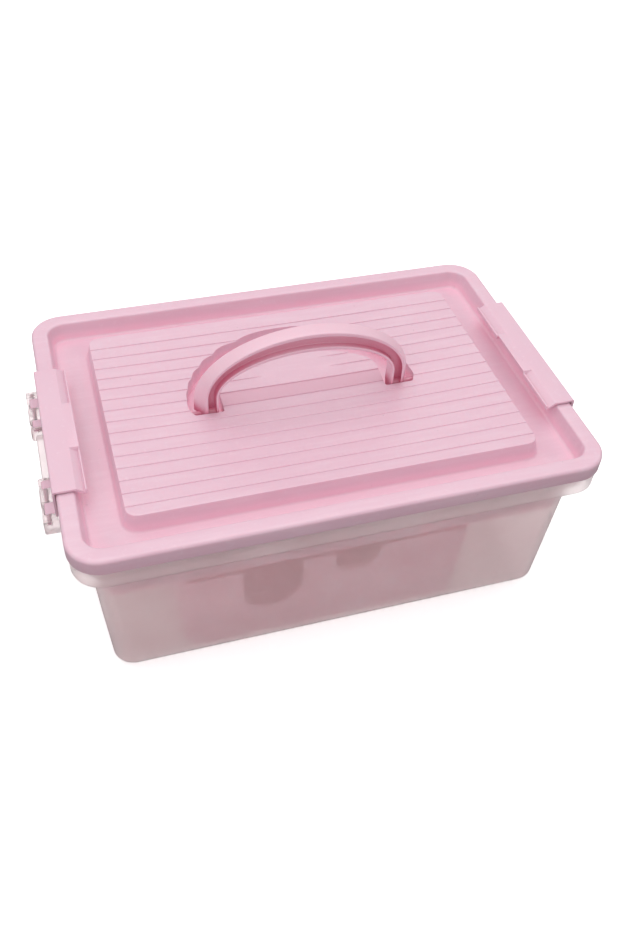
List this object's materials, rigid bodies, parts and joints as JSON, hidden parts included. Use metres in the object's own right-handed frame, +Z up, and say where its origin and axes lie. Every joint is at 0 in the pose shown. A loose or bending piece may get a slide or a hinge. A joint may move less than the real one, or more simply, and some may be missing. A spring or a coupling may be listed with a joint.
{
  "type": "sewing box with trays",
  "caption": "Frosted storage box with a clip-on lid, a folding carry handle, two side clips, and inner trays with loose dividers.",
  "frame": {"origin": "middle of the tub's underside", "axes": "+X along the long side, +Y towards the back, +Z up"},
  "size_m": [0.3604, 0.2358, 0.1813],
  "materials": {
    "frosted_plastic": "frosted see-through polypropylene",
    "pink_plastic": "satin polypropylene with a fine grain",
    "pink_tray_plastic": "satin polypropylene"
  },
  "bodies": {
    "tub": {"tub": "frosted_plastic"},
    "lid": {"lid": "pink_plastic"},
    "handle": {"carry_handle": "pink_plastic"},
    "clip_left": {"clip_left": "pink_plastic"},
    "clip_right": {"clip_right": "pink_plastic"},
    "upper_tray": {"upper_tray": "pink_tray_plastic"},
    "lower_tray": {"lower_tray": "pink_tray_plastic"},
    "upper_divider_1": {"upper_divider_1": "pink_tray_plastic"},
    "upper_divider_2": {"upper_divider_2": "pink_tray_plastic"},
    "upper_divider_3": {"upper_divider_3": "pink_tray_plastic"},
    "upper_divider_4": {"upper_divider_4": "pink_tray_plastic"},
    "lower_divider_1": {"lower_divider_1": "pink_tray_plastic"},
    "lower_divider_2": {"lower_divider_2": "pink_tray_plastic"}
  },
  "joints": [
    {"name": "lid_lift", "type": "slide", "parent": "tub", "child": "lid", "axis": [0, 0, 1], "range_m": [0, 0.0297]},
    {"name": "clip_left_swing", "type": "hinge", "parent": "tub", "child": "clip_left", "pos_m": [-0.1765, 0, 0.1101], "axis": [0, -1, 0], "range_deg": [0, 171]},
    {"name": "clip_right_swing", "type": "hinge", "parent": "tub", "child": "clip_right", "pos_m": [0.1765, 0, 0.1101], "axis": [0, 1, 0], "range_deg": [0, 171]},
    {"name": "handle_fold", "type": "hinge", "parent": "lid", "child": "handle", "pos_m": [0, -0.002, 0.1254], "axis": [-1, 0, 0], "range_deg": [0, 90]},
    {"name": "upper_tray_lift", "type": "slide", "parent": "tub", "child": "upper_tray", "axis": [0, 0, 1], "range_m": [0, 0.018]},
    {"name": "lower_tray_lift", "type": "slide", "parent": "tub", "child": "lower_tray", "axis": [0, 0, 1], "range_m": [0, 0.012]},
    {"name": "upper_divider_1_lift", "type": "slide", "parent": "upper_tray", "child": "upper_divider_1", "axis": [0, 0, 1], "range_m": [0, 0.0105]},
    {"name": "upper_divider_2_lift", "type": "slide", "parent": "upper_tray", "child": "upper_divider_2", "axis": [0, 0, 1], "range_m": [0, 0.0105]},
    {"name": "upper_divider_3_lift", "type": "slide", "parent": "upper_tray", "child": "upper_divider_3", "axis": [0, 0, 1], "range_m": [0, 0.0105]},
    {"name": "upper_divider_4_lift", "type": "slide", "parent": "upper_tray", "child": "upper_divider_4", "axis": [0, 0, 1], "range_m": [0, 0.0105]},
    {"name": "lower_divider_1_lift", "type": "slide", "parent": "lower_tray", "child": "lower_divider_1", "axis": [0, 0, 1], "range_m": [0, 0.0046]},
    {"name": "lower_divider_2_lift", "type": "slide", "parent": "lower_tray", "child": "lower_divider_2", "axis": [0, 0, 1], "range_m": [0, 0.0046]}
  ],
  "couplings": [
    {"joint": "clip_left_swing", "follows": "lid_lift", "rad_per_m": 100},
    {"joint": "clip_right_swing", "follows": "lid_lift", "rad_per_m": 100},
    {"joint": "upper_tray_lift", "follows": "lid_lift", "ratio": 0.6},
    {"joint": "lower_tray_lift", "follows": "lid_lift", "ratio": 0.4},
    {"joint": "upper_divider_1_lift", "follows": "lid_lift", "ratio": 0.35},
    {"joint": "upper_divider_2_lift", "follows": "lid_lift", "ratio": 0.35},
    {"joint": "upper_divider_3_lift", "follows": "lid_lift", "ratio": 0.35},
    {"joint": "upper_divider_4_lift", "follows": "lid_lift", "ratio": 0.35},
    {"joint": "lower_divider_1_lift", "follows": "lid_lift", "ratio": 0.15},
    {"joint": "lower_divider_2_lift", "follows": "lid_lift", "ratio": 0.15}
  ]
}
